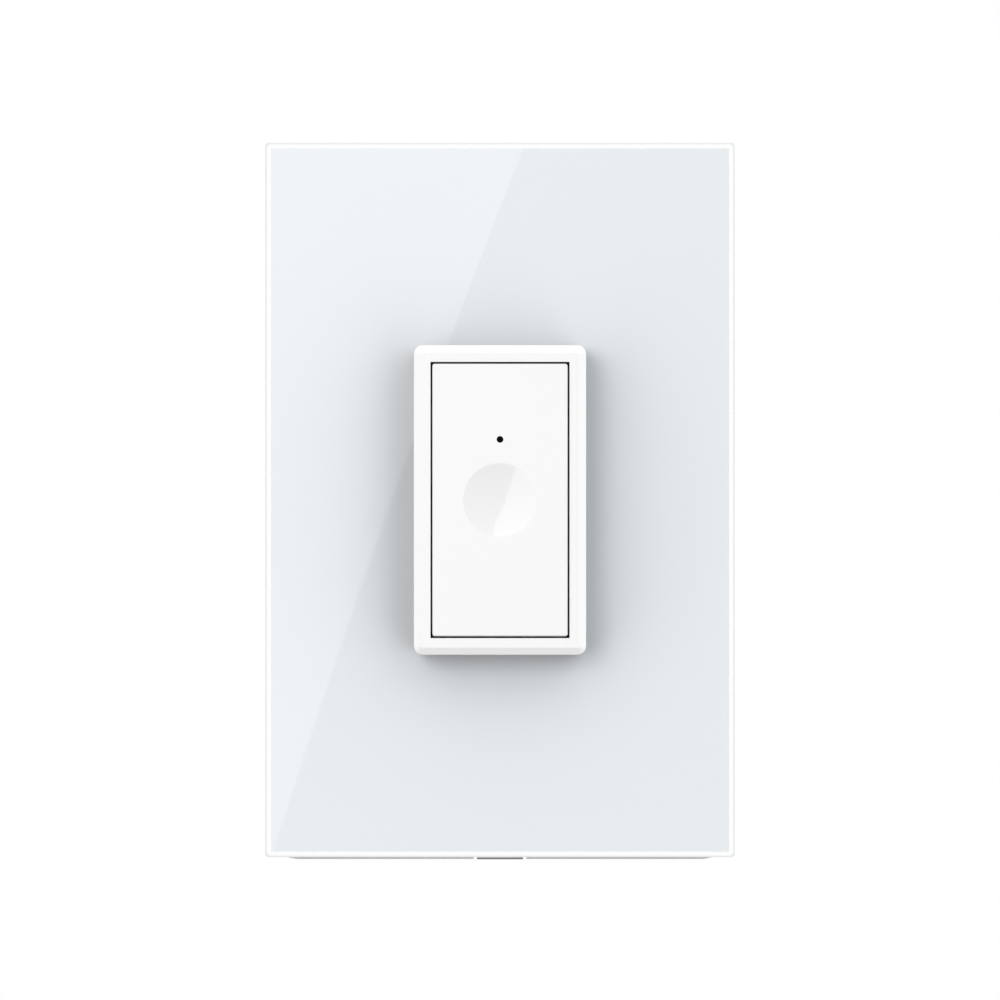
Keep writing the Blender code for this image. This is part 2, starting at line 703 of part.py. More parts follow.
def make_bezel():
    eased_radius = BEZEL_RADIUS - BEZEL_CHAMFER
    eased = rounded_rectangle(BEZEL_WIDTH - 2 * BEZEL_CHAMFER, BEZEL_HEIGHT - 2 * BEZEL_CHAMFER, eased_radius)
    full = rounded_rectangle(BEZEL_WIDTH, BEZEL_HEIGHT, BEZEL_RADIUS)
    skirt = rounded_rectangle(SKIRT_WIDTH, SKIRT_HEIGHT, SKIRT_RADIUS)
    base = loft(
        [
            (eased, FACE),
            (full, FACE + BEZEL_CHAMFER_DEPTH),
            (full, BEZEL_BASE),
            (skirt, BEZEL_BASE),
            (skirt, SKIRT_REAR),
        ]
    )
    opening = centred_box(OPENING_WIDTH, OPENING_HEIGHT, FACE - OVERSHOOT, SKIRT_REAR + OVERSHOOT)
    steps = [(CUT, opening), (ADD, bezel_clips())]
    piece("bezel", "white_plastic", base, steps, (0, BEZEL_BASE, 0))


def bezel_clips():
    """Hooked legs that continue the skirt's long walls through the chassis."""
    clips = []
    for x, z in four_corners(OPENING_WIDTH / 2, BEZEL_CLIP_Z):
        direction = math.copysign(1, x)
        outer = x + direction * BEZEL_SKIRT_WALL
        outline = hook_outline(x, outer, SKIRT_REAR - OVERLAP, SNAP_CATCH, direction)
        clips.append(extrusion(outline, z - BEZEL_CLIP_WIDTH / 2, z + BEZEL_CLIP_WIDTH / 2, "Z"))
    return together(clips)


def dish_cutter():
    """Cap of a sphere that stands into the key's face by the dish's depth."""
    sphere = (DISH_RADIUS**2 + DISH_DEPTH**2) / (2 * DISH_DEPTH)
    centre = FACE + DISH_DEPTH - sphere
    edge_angle = math.asin(DISH_RADIUS / sphere)
    profile = [(FACE + DISH_DEPTH, 0.0)]
    for ring in range(1, DISH_RINGS + 2):
        angle = edge_angle * ring / DISH_RINGS
        profile.append((centre + sphere * math.cos(angle), sphere * math.sin(angle)))
    profile.append((FACE - OVERSHOOT, profile[-1][1]))
    return turned(profile, sides=DISH_SIDES)


def key_ribs():
    """Stiffening ribs under the key's top, clear of the post, the lens and the springs."""
    rear = KEY_BACK + KEY_RIB_DEPTH
    front = KEY_BACK - OVERLAP
    half = KEY_RIB_WIDTH / 2
    side = KEY_WIDTH / 2 - KEY_WALL + OVERLAP
    end = KEY_HEIGHT / 2 - KEY_WALL + OVERLAP
    lengthwise = [box((x - half, front, -end), (x + half, rear, end)) for x in (-KEY_RIB_X, KEY_RIB_X)]
    crosswise = [box((-side, front, z - half), (side, rear, z + half)) for z in (-KEY_RIB_Z, KEY_RIB_Z)]
    return lengthwise + crosswise


def key_legs():
    """Hooked guide legs that continue the key's end walls through the chassis."""
    legs = []
    for x, z in four_corners(KEY_LEG_X, KEY_HEIGHT / 2):
        direction = math.copysign(1, z)
        inner = z - direction * KEY_WALL
        outline = hook_outline(inner, z, KEY_SKIRT_END - OVERLAP, SNAP_CATCH, direction)
        upright = [(y, side) for side, y in outline]
        legs.append(extrusion(upright, x - KEY_LEG_WIDTH / 2, x + KEY_LEG_WIDTH / 2, "X"))
    return together(legs)


def make_key(parent):
    top_width = KEY_WIDTH - 2 * KEY_EDGE
    top_height = KEY_HEIGHT - 2 * KEY_EDGE
    top_outline = rounded_rectangle(top_width, top_height, KEY_CORNER - KEY_EDGE)
    outline = rounded_rectangle(KEY_WIDTH, KEY_HEIGHT, KEY_CORNER)
    base = loft([(top_outline, FACE), (outline, FACE + KEY_EDGE), (outline, KEY_SKIRT_END)])
    hollow = centred_box(
        KEY_WIDTH - 2 * KEY_WALL, KEY_HEIGHT - 2 * KEY_WALL, KEY_BACK, KEY_SKIRT_END + OVERSHOOT
    )
    lens_radius = LENS_DIAMETER / 2 + LENS_GAP
    stem_radius = LENS_STEM_DIAMETER / 2 + LENS_GAP
    shoulder = FACE + LENS_SHOULDER
    boss_end = KEY_BACK + KEY_RIB_DEPTH
    bore = turned(
        [
            (FACE - OVERSHOOT, lens_radius),
            (shoulder, lens_radius),
            (shoulder, stem_radius),
            (boss_end + OVERSHOOT, stem_radius),
        ],
        (0, LENS_Z),
    )
    post = rod(KEY_POST_RADIUS, KEY_BACK - OVERLAP, PLUNGER_FRONT - SEAT_GAP)
    boss = rod(stem_radius + LENS_BOSS_WALL, KEY_BACK - OVERLAP, boss_end, (0, LENS_Z))
    pegs = [
        rod(SPRING_PEG_RADIUS, KEY_BACK - OVERLAP, KEY_BACK + SPRING_PEG_LENGTH, (0, z))
        for z in (-SPRING_Z, SPRING_Z)
    ]
    steps = [(CUT, hollow), (CUT, dish_cutter())]
    steps += [(ADD, solid) for solid in (*key_ribs(), post, boss, together(pegs), key_legs())]
    steps.append((CUT, bore))
    piece("key", "white_plastic", base, steps, (0, KEY_BACK, 0), parent)


def make_indicator_lens(parent):
    shoulder = FACE + LENS_SHOULDER + SEAT_GAP
    stem_end = LED_FRONT - KEY_TRAVEL - SEAT_GAP
    profile = [
        (FACE, LENS_DIAMETER / 2),
        (shoulder, LENS_DIAMETER / 2),
        (shoulder, LENS_STEM_DIAMETER / 2),
        (stem_end, LENS_STEM_DIAMETER / 2),
    ]
    piece("indicator_lens", "dark_lens", turned(profile, (0, LENS_Z)), (), (0, FACE, LENS_Z), parent)


def make_spring(name, z):
    """Coil spring of round wire on its pegs, its end turns closed."""
    wire = SPRING_WIRE / 2
    start = KEY_BACK + SEAT_GAP + wire
    end = FLANGE_FRONT - SEAT_GAP - wire
    steps = SPRING_TURNS * SPRING_SIDES_PER_TURN
    curve = bpy.data.curves.new(name, "CURVE")
    curve.dimensions = "3D"
    curve.bevel_depth = wire
    curve.bevel_resolution = 1
    curve.use_fill_caps = True
    spline = curve.splines.new("POLY")
    spline.points.add(steps)
    for step in range(steps + 1):
        turn = step / SPRING_SIDES_PER_TURN
        angle = 2 * math.pi * turn
        y = start + (end - start) * closed_end_rise(turn)
        x = SPRING_RADIUS * math.cos(angle)
        spline.points[step].co = (x, y - start, SPRING_RADIUS * math.sin(angle), 1.0)
    curve.materials.append(material("spring_steel"))
    obj = bpy.data.objects.new(name, curve)
    obj.location = (0, start, z)
    bpy.context.scene.collection.objects.link(obj)


def closed_end_rise(turn):
    """Share of the spring's length reached after some turns. The end turns rise little more than the wire."""
    length = FLANGE_FRONT - KEY_BACK - 2 * SEAT_GAP - SPRING_WIRE
    closed = (SPRING_WIRE + END_TURN_GAP) / length
    if turn < 1:
        return closed * turn
    if turn > SPRING_TURNS - 1:
        return 1 - closed * (SPRING_TURNS - turn)
    return closed + (1 - 2 * closed) * (turn - 1) / (SPRING_TURNS - 2)


def make_control_board():
    outline = rounded_rectangle(CONTROL_WIDTH, CONTROL_HEIGHT, BODY_WALL / 2)
    pin_hole = CONTROL_PIN_RADIUS + SEAT_GAP
    corners = four_corners(CONTROL_POST_X, CONTROL_POST_Z)
    holes = [rod(pin_hole, CONTROL_FRONT - OVERSHOOT, CONTROL_REAR + OVERSHOOT, at) for at in corners]
    base = extrusion(outline, CONTROL_FRONT, CONTROL_REAR)
    piece("control_board", "board_laminate", base, [(CUT, together(holes))], (0, CONTROL_REAR, 0))


def make_tact_switch():
    outline = cut_corner_rectangle(TACT_SIDE, TACT_SIDE, TACT_EDGE)
    well_floor = TACT_FRONT + PLUNGER_SUNK + KEY_TRAVEL + SEAT_GAP
    well = rod(PLUNGER_RADIUS + SCREW_GAP, TACT_FRONT - OVERSHOOT, well_floor)
    base = extrusion(outline, TACT_FRONT, TACT_REAR)
    piece("tact_switch", "black_component", base, [(CUT, well)], (0, TACT_REAR, 0))


def make_tact_plunger(parent):
    profile = [
        (PLUNGER_FRONT, PLUNGER_RADIUS - TACT_EDGE),
        (PLUNGER_FRONT + TACT_EDGE, PLUNGER_RADIUS),
        (TACT_FRONT + PLUNGER_SUNK, PLUNGER_RADIUS),
    ]
    piece("tact_plunger", "black_component", turned(profile), (), (0, TACT_FRONT, 0), parent)


def make_indicator_led():
    rear = CONTROL_FRONT - SEAT_GAP
    base = centred_box(LED_WIDTH, LED_LENGTH, LED_FRONT, rear, z=LENS_Z)
    cup_depth = LED_HEIGHT / 2
    radius = LED_LENGTH / 2
    cup = turned(
        [
            (LED_FRONT - OVERSHOOT, radius - TACT_EDGE),
            (LED_FRONT, radius - TACT_EDGE),
            (LED_FRONT + cup_depth, radius - 2 * TACT_EDGE),
        ],
        (0, LENS_Z),
    )
    piece("indicator_led", "led_plastic", base, [(CUT, cup)], (0, rear, LENS_Z))


def make_controller_chip():
    rear = CONTROL_FRONT - SEAT_GAP
    base = centred_box(CHIP_WIDTH, CHIP_LENGTH, rear - CHIP_HEIGHT, rear, z=-CHIP_Z)
    leads = []
    for row in range(-1, 2):
        z = -CHIP_Z + row * CHIP_LENGTH / 3.5
        reach = CHIP_WIDTH / 2 + HEADER_PIN
        low = (-reach, rear - CHIP_HEIGHT / 2, z - HEADER_PIN / 4)
        leads.append(box(low, (reach, rear, z + HEADER_PIN / 4)))
    piece("controller_chip", "black_component", base, [(ADD, together(leads))], (0, rear, -CHIP_Z))


def make_board_header():
    """Strip of square pins that joins the two boards through the chassis."""
    width = HEADER_PINS * HEADER_SPACING
    rear = POWER_FRONT - SEAT_GAP
    front = CONTROL_REAR + SEAT_GAP
    base = centred_box(width, HEADER_BASE, rear - HEADER_BASE, rear, z=-HEADER_Z)
    pins = []
    for pin in range(HEADER_PINS):
        x = (pin - (HEADER_PINS - 1) / 2) * HEADER_SPACING
        pins.append(centred_box(HEADER_PIN, HEADER_PIN, front, rear - OVERLAP, x, -HEADER_Z))
    piece("board_header", "black_component", base, [(ADD, together(pins))], (0, rear, -HEADER_Z))


def snap_lugs():
    """Wedges on the chassis's long sides that hold it behind the yoke."""
    lugs = []
    for x, z in four_corners(BODY_WIDTH / 2, LUG_Z):
        direction = math.copysign(1, x)
        root = x - direction * OVERLAP
        tip = x + direction * HOOK_REACH
        outline = [
            (root, SEAT_GAP),
            (tip, SEAT_GAP),
            (tip, SEAT_GAP + HOOK_LAND),
            (x, SEAT_GAP + LUG_LENGTH),
            (root, SEAT_GAP + LUG_LENGTH),
        ]
        lugs.append(extrusion(outline, z - LUG_WIDTH / 2, z + LUG_WIDTH / 2, "Z"))
    return together(lugs)


def control_posts():
    """Stepped posts that carry the control board, their pins through its holes."""
    shoulder = CONTROL_REAR + SEAT_GAP
    profile = [
        (CONTROL_FRONT - SEAT_GAP, CONTROL_PIN_RADIUS),
        (shoulder, CONTROL_PIN_RADIUS),
        (shoulder, CONTROL_POST_RADIUS),
        (FLANGE_FRONT + OVERLAP, CONTROL_POST_RADIUS),
    ]
    return together([turned(profile, at) for at in four_corners(CONTROL_POST_X, CONTROL_POST_Z)])


def chassis_slots():
    """Slots in the chassis's front wall for the key's legs and the bezel's clips, and the header's window."""
    front = FLANGE_FRONT - OVERLAP
    rear = FLANGE_REAR + OVERLAP
    slots = []
    for x, z in four_corners(KEY_LEG_X, KEY_HEIGHT / 2):
        direction = math.copysign(1, z)
        ends = sorted((z + direction * SEAT_GAP, z - direction * (KEY_WALL + FLEX_ROOM)))
        half = KEY_LEG_WIDTH / 2 + SEAT_GAP
        slots.append(box((x - half, front, ends[0]), (x + half, rear, ends[1])))
    for x, z in four_corners(SKIRT_WIDTH / 2, BEZEL_CLIP_Z):
        direction = math.copysign(1, x)
        sides = sorted((x + direction * SEAT_GAP, x - direction * (BEZEL_SKIRT_WALL + FLEX_ROOM)))
        half = BEZEL_CLIP_WIDTH / 2 + SEAT_GAP
        slots.append(box((sides[0], front, z - half), (sides[1], rear, z + half)))
    window_width = HEADER_PINS * HEADER_SPACING + 2 * SEAT_GAP
    slots.append(centred_box(window_width, HEADER_BASE + 2 * SEAT_GAP, front, rear, z=-HEADER_Z))
    return together(slots)


def seam_outline(wider):
    """The housing's inside, made wider all round, for the lip and the rebate where its halves meet."""
    return rounded_rectangle(INSIDE_WIDTH + 2 * wider, INSIDE_HEIGHT + 2 * wider, BODY_RADIUS / 2 + wider)


def make_chassis():
    flange_outline = rounded_rectangle(FLANGE_WIDTH, FLANGE_HEIGHT, FLANGE_RADIUS)
    body_outline = rounded_rectangle(BODY_WIDTH, BODY_HEIGHT, BODY_RADIUS)
    inside = rounded_rectangle(INSIDE_WIDTH, INSIDE_HEIGHT, BODY_RADIUS / 2)
    collar_outline = rounded_rectangle(
        CUTOUT_WIDTH + 2 * COLLAR_WALL, CUTOUT_HEIGHT + 2 * COLLAR_WALL, FLANGE_RADIUS
    )
    cutout = rounded_rectangle(CUTOUT_WIDTH, CUTOUT_HEIGHT, CUTOUT_RADIUS)
    chassis_rear = SPLIT - SEAT_GAP
    body = extrusion(body_outline, FLANGE_REAR - OVERLAP, chassis_rear)
    collar = extrusion(collar_outline, COLLAR_FRONT, FLANGE_FRONT + OVERLAP)
    bosses = [
        rod(BOSS_RADIUS, FLANGE_REAR - OVERLAP, POWER_FRONT - SEAT_GAP, at)
        for at in four_corners(BOSS_X, BOSS_Z)
    ]
    pegs = [
        rod(SPRING_PEG_RADIUS, FLANGE_FRONT - SPRING_PEG_LENGTH, FLANGE_FRONT + OVERLAP, (0, z))
        for z in (-SPRING_Z, SPRING_Z)
    ]
    pilots = [
        rod(HOUSING_SHANK_RADIUS + SCREW_GAP, FLANGE_REAR, POWER_FRONT + OVERSHOOT, at)
        for at in four_corners(BOSS_X, BOSS_Z)
    ]
    steps = [
        (ADD, body),
        (ADD, collar),
        (CUT, extrusion(inside, FLANGE_REAR, chassis_rear + OVERSHOOT)),
        (CUT, extrusion(seam_outline(SEAM_LIP + SEAT_GAP), SEAM_END - SEAT_GAP, chassis_rear + OVERSHOOT)),
        (CUT, extrusion(cutout, COLLAR_FRONT - OVERSHOOT, FLANGE_FRONT)),
        (ADD, together(bosses)),
        (ADD, together(pegs)),
        (ADD, control_posts()),
        (ADD, snap_lugs()),
        (CUT, together(pilots)),
        (CUT, chassis_slots()),
    ]
    base = extrusion(flange_outline, FLANGE_FRONT, FLANGE_REAR)
    piece("chassis", "housing_plastic", base, steps, (0, FLANGE_REAR, 0))


def terminal_places():
    return [(index - (TERMINALS - 1) / 2) * TERMINAL_PITCH for index in range(TERMINALS)]


def terminal_z():
    """Height of the terminal screws, the middle of their chambers."""
    return BLOCK_BOTTOM + CHAMBER_HEIGHT / 2


def rear_housing_holes():
    """Counterbored screw holes, screwdriver holes, wire entries and vents of the rear housing."""
    screw = [
        (PARTS_BASE - OVERSHOOT, HOUSING_SHANK_RADIUS + SCREW_GAP),
        (BODY_DEPTH - HOUSING_HEAD_HEIGHT - SEAT_GAP, HOUSING_SHANK_RADIUS + SCREW_GAP),
        (BODY_DEPTH - HOUSING_HEAD_HEIGHT - SEAT_GAP, HOUSING_HEAD_RADIUS + SEAT_GAP),
        (BODY_DEPTH + OVERSHOOT, HOUSING_HEAD_RADIUS + SEAT_GAP),
    ]
    holes = [turned(screw, at) for at in four_corners(BOSS_X, BOSS_Z)]
    driver_radius = TERMINAL_HEAD_RADIUS + SEAT_GAP
    wire_radius = WIRE_HOLE_RADIUS + SEAT_GAP
    for x in terminal_places():
        holes.append(rod(driver_radius, BACK_INSIDE - OVERSHOOT, BODY_DEPTH + OVERSHOOT, (x, terminal_z())))
        wall = -BODY_HEIGHT / 2 - OVERSHOOT
        holes.append(rod(wire_radius, wall, wall + BODY_WALL + 2 * OVERSHOOT, (x, CHAMBER_Y), "Z"))
    for row in range(VENT_ROWS):
        z = VENT_Z + (row - (VENT_ROWS - 1) / 2) * VENT_SPACING
        vent = round_ended(VENT_LENGTH, VENT_WIDTH, z)
        holes.append(extrusion(vent, BACK_INSIDE - OVERSHOOT, BODY_DEPTH + OVERSHOOT))
    return together(holes)


def make_rear_housing():
    outline = rounded_rectangle(BODY_WIDTH, BODY_HEIGHT, BODY_RADIUS)
    eased = rounded_rectangle(
        BODY_WIDTH - 2 * BODY_CHAMFER, BODY_HEIGHT - 2 * BODY_CHAMFER, BODY_RADIUS - BODY_CHAMFER / 2
    )
    inside = rounded_rectangle(INSIDE_WIDTH, INSIDE_HEIGHT, BODY_RADIUS / 2)
    base = loft([(outline, SPLIT), (outline, BODY_DEPTH - BODY_CHAMFER), (eased, BODY_DEPTH)])
    bosses = [
        rod(BOSS_RADIUS, PARTS_BASE, BACK_INSIDE + OVERLAP, at) for at in four_corners(BOSS_X, BOSS_Z)
    ]
    steps = [
        (ADD, extrusion(seam_outline(SEAM_LIP), SEAM_END, SPLIT + OVERLAP)),
        (CUT, extrusion(inside, SEAM_END - OVERSHOOT, BACK_INSIDE)),
        (ADD, together(bosses)),
        (CUT, rear_housing_holes()),
    ]
    piece("rear_housing", "housing_plastic", base, steps, (0, BODY_DEPTH, 0))


def make_power_board():
    outline = rounded_rectangle(POWER_WIDTH, POWER_HEIGHT, BODY_RADIUS / 2)
    hole = HOUSING_SHANK_RADIUS + SCREW_GAP
    holes = [
        rod(hole, POWER_FRONT - OVERSHOOT, POWER_REAR + OVERSHOOT, at) for at in four_corners(BOSS_X, BOSS_Z)
    ]
    base = extrusion(outline, POWER_FRONT, POWER_REAR)
    piece("power_board", "board_laminate", base, [(CUT, together(holes))], (0, POWER_REAR, 0))


def component_block(name, surface, width, height, length, x, z):
    """Box-shaped component standing on the power board, its outer edges taken off."""
    full = cut_corner_rectangle(width, length, PART_EDGE)
    eased = cut_corner_rectangle(width - 2 * PART_EDGE, length - 2 * PART_EDGE, PART_EDGE)
    top = PARTS_BASE + height
    sections = [(full, PARTS_BASE), (full, top - PART_EDGE), (eased, top)]
    moved = [([(u + x, v + z) for u, v in outline], along) for outline, along in sections]
    piece(name, surface, loft(moved), (), (x, PARTS_BASE, z))


def make_power_components():
    left = -POWER_WIDTH / 2 + BOARD_MARGIN
    right = POWER_WIDTH / 2 - BOARD_MARGIN
    relay_z = PARTS_BOTTOM + RELAY_LENGTH / 2
    component_block(
        "relay", "relay_plastic", RELAY_WIDTH, RELAY_HEIGHT, RELAY_LENGTH, left + RELAY_WIDTH / 2, relay_z
    )
    varistor_z = PARTS_BOTTOM + RELAY_LENGTH + PART_SPACING
    make_varistor(left + RELAY_WIDTH / 2, varistor_z)
    capacitor_z = PARTS_BOTTOM + CAPACITOR_RADIUS
    make_electrolytic_capacitor(right - CAPACITOR_RADIUS, capacitor_z)
    film_z = capacitor_z + CAPACITOR_RADIUS + PART_SPACING + FILM_LENGTH / 2
    component_block(
        "film_capacitor", "film_plastic", FILM_WIDTH, FILM_HEIGHT, FILM_LENGTH, right - FILM_WIDTH / 2, film_z
    )
    fuse_z = film_z + FILM_LENGTH / 2 + PART_SPACING + FUSE_RADIUS
    make_fuse(right - FUSE_LENGTH, fuse_z)


def make_varistor(x, z):
    rim = VARISTOR_RADIUS - PART_EDGE
    profile = [
        (z, rim),
        (z + PART_EDGE, VARISTOR_RADIUS),
        (z + VARISTOR_THICKNESS - PART_EDGE, VARISTOR_RADIUS),
        (z + VARISTOR_THICKNESS, rim),
    ]
    centre_y = PARTS_BASE + VARISTOR_RADIUS
    piece("varistor", "varistor_coating", turned(profile, (x, centre_y), "Z"), (), (x, centre_y, z))


def make_electrolytic_capacitor(x, z):
    groove = CAPACITOR_RADIUS - PART_EDGE
    top = PARTS_BASE + CAPACITOR_HEIGHT
    profile = [
        (PARTS_BASE, groove),
        (PARTS_BASE + PART_EDGE, CAPACITOR_RADIUS),
        (PARTS_BASE + 3 * PART_EDGE, CAPACITOR_RADIUS),
        (PARTS_BASE + 4 * PART_EDGE, groove),
        (PARTS_BASE + 5 * PART_EDGE, CAPACITOR_RADIUS),
        (top - PART_EDGE, CAPACITOR_RADIUS),
        (top, groove),
    ]
    piece("electrolytic_capacitor", "can_aluminium", turned(profile, (x, z)), (), (x, PARTS_BASE, z))


def make_fuse(x, z):
    waist = FUSE_RADIUS - PART_EDGE / 2
    cap = FUSE_LENGTH / 5
    start = x - FUSE_LENGTH / 2
    end = x + FUSE_LENGTH / 2
    profile = [
        (start, FUSE_RADIUS),
        (start + cap, FUSE_RADIUS),
        (start + cap, waist),
        (end - cap, waist),
        (end - cap, FUSE_RADIUS),
        (end, FUSE_RADIUS),
    ]
    centre_y = PARTS_BASE + FUSE_RADIUS
    piece("fuse", "led_plastic", turned(profile, (centre_y, z), "X"), (), (x, centre_y, z))


def make_terminal_block():
    base = box(
        (-BLOCK_WIDTH / 2, PARTS_BASE, BLOCK_BOTTOM),
        (BLOCK_WIDTH / 2, BLOCK_REAR, BLOCK_TOP),
    )
    cuts = []
    for x in terminal_places():
        low = (x - CHAMBER_WIDTH / 2, CHAMBER_Y - CHAMBER_DEPTH / 2, BLOCK_BOTTOM - OVERSHOOT)
        high = (x + CHAMBER_WIDTH / 2, CHAMBER_Y + CHAMBER_DEPTH / 2, BLOCK_BOTTOM + CHAMBER_HEIGHT)
        cuts.append(box(low, high))
    steps = [(CUT, together(cuts)), (CUT, together(terminal_screw_holes()))]
    piece("terminal_block", "terminal_plastic", base, steps, (0, BLOCK_REAR, BLOCK_BOTTOM))


def terminal_screw_holes():
    """Stepped holes from the block's rear face into its chambers."""
    shank_hole = TERMINAL_SHANK_RADIUS + SEAT_GAP
    head_hole = TERMINAL_HEAD_RADIUS + SEAT_GAP
    seat = HEAD_SEAT - SEAT_GAP
    profile = [
        (CHAMBER_Y, shank_hole),
        (seat, shank_hole),
        (seat, head_hole),
        (BLOCK_REAR + OVERSHOOT, head_hole),
    ]
    return [turned(profile, (x, terminal_z())) for x in terminal_places()]


def make_terminal(index, x):
    width = CHAMBER_WIDTH - 2 * SEAT_GAP
    front = CHAMBER_Y - CHAMBER_DEPTH / 2 + SEAT_GAP
    back = CHAMBER_Y + CHAMBER_DEPTH / 2 - SEAT_GAP
    top = BLOCK_BOTTOM + CHAMBER_HEIGHT - SEAT_GAP
    base = box((x - width / 2, front, BLOCK_BOTTOM), (x + width / 2, back, top))
    wire_hole = rod(WIRE_HOLE_RADIUS, BLOCK_BOTTOM - OVERSHOOT, top + OVERSHOOT, (x, CHAMBER_Y), "Z")
    thread_hole = rod(TERMINAL_SHANK_RADIUS + SCREW_GAP, CHAMBER_Y, back + OVERSHOOT, (x, terminal_z()))
    steps = [(CUT, wire_hole), (CUT, thread_hole)]
    piece(f"terminal_clamp_{index}", "terminal_brass", base, steps, (x, CHAMBER_Y, BLOCK_BOTTOM))
    tip = CHAMBER_Y + WIRE_HOLE_RADIUS / 2
    make_screw(
        f"terminal_screw_{index}",
        (x, terminal_z()),
        HEAD_SEAT,
        1,
        (TERMINAL_HEAD_RADIUS, TERMINAL_HEAD_HEIGHT, TERMINAL_SHANK_RADIUS, HEAD_SEAT - tip),
    )


def make_screw(name, at, seat, direction, size):
    """Slotted screw whose head stands on a seat, on the side that direction gives along y."""
    head_radius, head_height, shank_radius, shank_length = size
    top = seat + direction * head_height
    profile = [
        (top, head_radius - SLOT_DEPTH / 2),
        (top - direction * SLOT_DEPTH / 2, head_radius),
        (seat, head_radius),
        (seat, shank_radius),
        (seat - direction * (shank_length - shank_radius / 2), shank_radius),
        (seat - direction * shank_length, shank_radius / 2),
    ]
    floor, beyond = sorted((top - direction * SLOT_DEPTH, top + direction * OVERSHOOT))
    slot = centred_box(2 * head_radius + OVERSHOOT, SLOT_WIDTH, floor, beyond, at[0], at[1])
    piece(name, "screw_steel", turned(profile, at), [(CUT, slot)], (at[0], seat, at[1]))


def make_housing_screws():
    seat = BODY_DEPTH - HOUSING_HEAD_HEIGHT
    length = seat - FLANGE_REAR - HOUSING_SCREW_MARGIN
    size = (HOUSING_HEAD_RADIUS, HOUSING_HEAD_HEIGHT, HOUSING_SHANK_RADIUS, length)
    for index, at in enumerate(four_corners(BOSS_X, BOSS_Z), start=1):
        make_screw(f"housing_screw_{index}", at, seat, 1, size)


def make_box_screws():
    seat = YOKE_FRONT - SEAT_GAP
    size = (BOX_HEAD_RADIUS, BOX_HEAD_HEIGHT, BOX_SHANK_RADIUS, BOX_SCREW_LENGTH)
    make_screw("box_screw_upper", (0, FIXING_Z), seat, -1, size)
    make_screw("box_screw_lower", (0, -FIXING_Z), seat, -1, size)


def make_switch():
    clear_scene()
    key_axis = axis_empty("key_axis", (0, KEY_BACK, 0))
    plunger_axis = axis_empty("plunger_axis", (0, TACT_FRONT, 0))
    make_glass_panel()
    make_adhesive_frame()
    make_plate_carrier()
    make_mounting_yoke()
    make_bezel()
    make_key(key_axis)
    make_indicator_lens(key_axis)
    make_spring("return_spring_upper", SPRING_Z)
    make_spring("return_spring_lower", -SPRING_Z)
    make_control_board()
    make_tact_switch()
    make_tact_plunger(plunger_axis)
    make_indicator_led()
    make_controller_chip()
    make_board_header()
    make_chassis()
    make_rear_housing()
    make_power_board()
    make_power_components()
    make_terminal_block()
    for index, x in enumerate(terminal_places(), start=1):
        make_terminal(index, x)
    make_housing_screws()
    make_box_screws()


make_switch()
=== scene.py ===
"""Studio scene of the touch light switch, seen head on as in the photograph. Metres, as in the frame."""

import json
import math

import bmesh
import bpy
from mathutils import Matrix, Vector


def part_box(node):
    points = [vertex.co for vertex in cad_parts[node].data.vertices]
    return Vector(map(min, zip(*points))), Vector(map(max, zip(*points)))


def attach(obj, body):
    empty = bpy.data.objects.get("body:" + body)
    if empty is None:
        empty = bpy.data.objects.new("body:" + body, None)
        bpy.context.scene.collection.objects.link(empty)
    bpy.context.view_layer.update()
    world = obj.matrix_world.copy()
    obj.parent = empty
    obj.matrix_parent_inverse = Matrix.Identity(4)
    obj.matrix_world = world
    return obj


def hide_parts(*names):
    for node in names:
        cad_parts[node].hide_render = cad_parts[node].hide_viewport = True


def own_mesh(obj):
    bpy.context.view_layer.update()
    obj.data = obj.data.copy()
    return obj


# Camera, and the width that the picture takes in at the glass
IMAGE_WIDTH = 0.1636
CAMERA_DISTANCE = 1.2
CAMERA_NEAR = 0.01
SENSOR = 36.0

# Lamp
LAMP_POWER = 3.56
LAMP_SIZE = 0.65
LAMP_PLACE = (-0.42, -1.098, 0.24)

# Light of the sky in front and behind, by the direction it comes from
SKY_LEVEL = -0.42
SKY_UP = 1.03
SKY_RIGHT = 1.28
SKY_UP_SQUARED = 1.165
SKY_RIGHT_SQUARED = 5.5
SKY_LIMIT = 1.35
REAR_LEVEL = 0.35
REAR_DEPTH_SQUARED = 0.90
REAR_START = -0.05
REAR_FULL = 0.15
WHITE = 1.0

# Dark card that the glass mirrors. Its edge lies at offset + slope * z + bow * z * z.
CARD_DISTANCE = 0.90
CARD_EDGE_OFFSET = -0.0310
CARD_EDGE_SLOPE = 0.3554
CARD_EDGE_BOW = 0.180
CARD_HALF_HEIGHT = 0.360
CARD_RIGHT = 0.45
CARD_EDGE_STEPS = 32
CARD_SCALE = 5.0
CARD_GLOW = 0.01

# Floor, which fades out between two shares of its radius
FLOOR_HEIGHT = -0.150
FLOOR_RADIUS = 0.33
FLOOR_SIDES = 96
FLOOR_FADE_START = 0.45
FLOOR_FADE_END = 0.98
FLOOR_SCALE = 12.0
FLOOR_DARK = (0.90, 0.90, 0.90)
FLOOR_PALE = (0.92, 0.92, 0.92)

